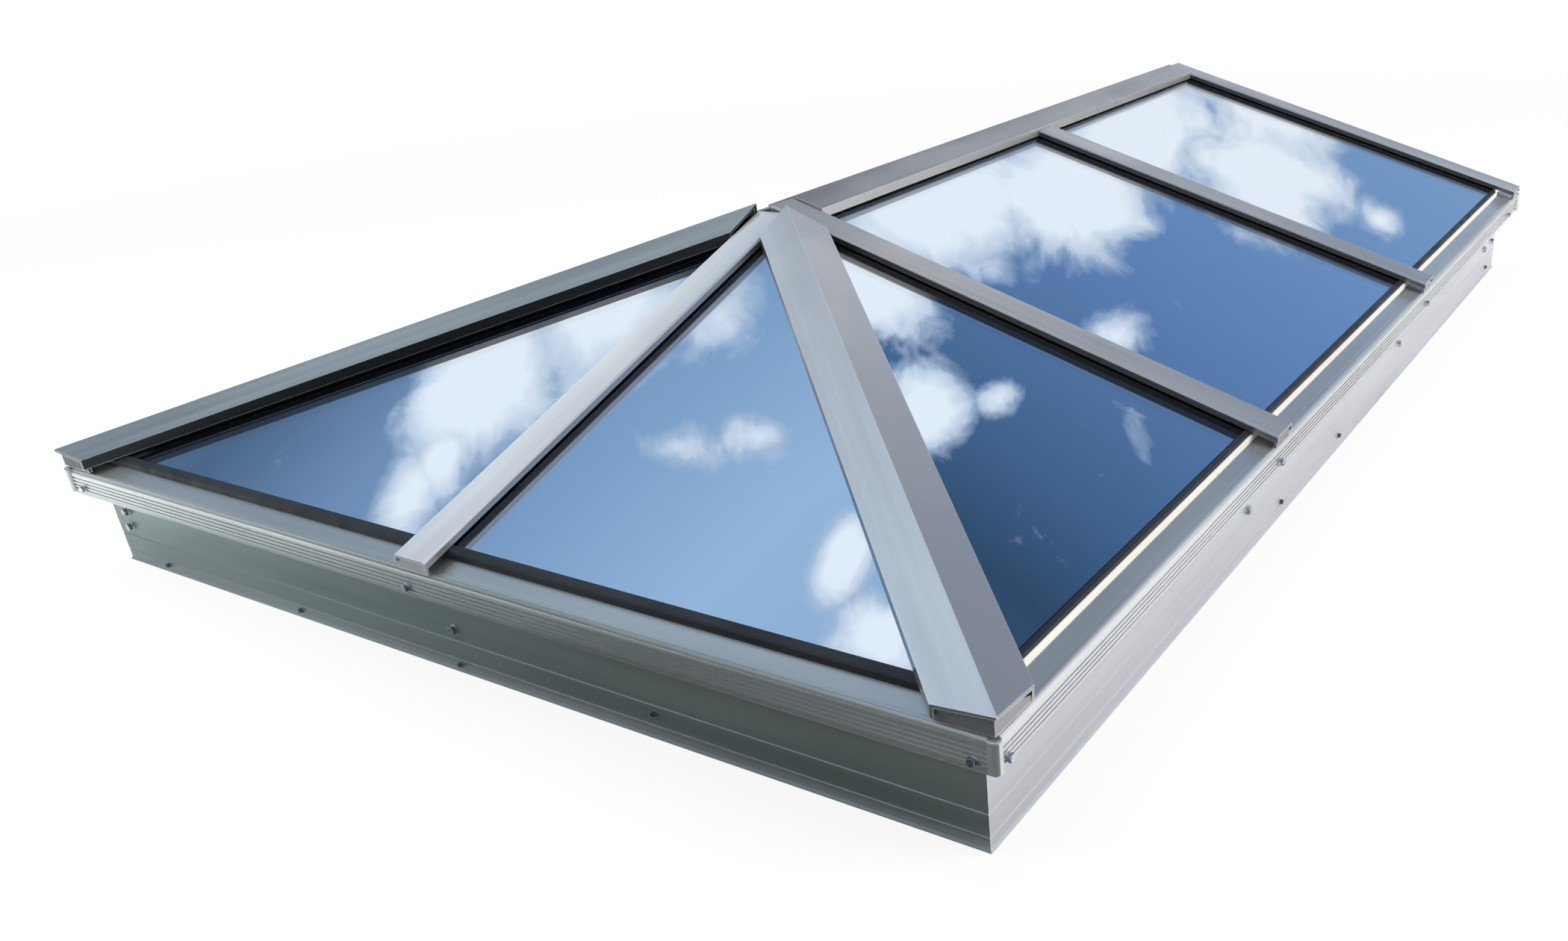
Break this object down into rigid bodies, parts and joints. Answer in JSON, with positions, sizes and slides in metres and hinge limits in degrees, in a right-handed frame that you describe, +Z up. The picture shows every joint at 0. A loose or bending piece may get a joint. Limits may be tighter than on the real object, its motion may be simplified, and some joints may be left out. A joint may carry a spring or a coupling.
{
  "type": "hipped ridge skylight",
  "caption": "Glazed roof light on an aluminium curb, hipped at one end and gabled at the other, with capped rafters, hips and ridge over mirror-like panes.",
  "frame": {"origin": "middle of the curb's opening at the level of its foot", "axes": "+Z up, +X along the ridge from the hipped end to the gable end, +Y across to the far long side"},
  "size_m": [1.876, 1.276, 0.3458],
  "materials": {
    "curb_metal": "mill finish extrusion, lightly streaked",
    "sill_metal": "mill finish extrusion, ribbed nose",
    "cap_metal": "mill finish extrusion, brushed along its length",
    "bar_metal": "mill finish extrusion",
    "glazing_stop": "bright mill finish",
    "glass": "reflective coated insulating glass",
    "gasket": "matt black extruded seal"
  },
  "bodies": {
    "root": {"corner_bead_gable_far": "sill_metal", "corner_bead_gable_near": "sill_metal", "corner_bead_hip_far": "sill_metal", "corner_bead_hip_near": "sill_metal", "curb_far": "curb_metal", "curb_gable": "curb_metal", "curb_hip": "curb_metal", "curb_near": "curb_metal", "gasket_far": "gasket", "gasket_hip": "gasket", "gasket_near": "gasket", "glass_far_1": "glass", "glass_far_2": "glass", "glass_far_3": "glass", "glass_gable": "glass", "glass_hip_far": "glass", "glass_hip_near": "glass", "glass_near_1": "glass", "glass_near_2": "glass", "glass_near_3": "glass", "hip_bar_far": "bar_metal", "hip_bar_near": "bar_metal", "hip_cap_far": "cap_metal", "hip_cap_near": "cap_metal", "rafter_cap_far_1": "cap_metal", "rafter_cap_far_2": "cap_metal", "rafter_cap_far_3": "cap_metal", "rafter_cap_hip": "cap_metal", "rafter_cap_near_1": "cap_metal", "rafter_cap_near_2": "cap_metal", "rafter_cap_near_3": "cap_metal", "rafter_far_1": "bar_metal", "rafter_far_2": "bar_metal", "rafter_far_3": "bar_metal", "rafter_hip": "bar_metal", "rafter_near_1": "bar_metal", "rafter_near_2": "bar_metal", "rafter_near_3": "bar_metal", "ridge_beam": "bar_metal", "ridge_cap": "cap_metal", "sill_far": "sill_metal", "sill_gable": "sill_metal", "sill_hip": "sill_metal", "sill_near": "sill_metal", "stop_far": "glazing_stop", "stop_near": "glazing_stop"}
  },
  "joints": []
}
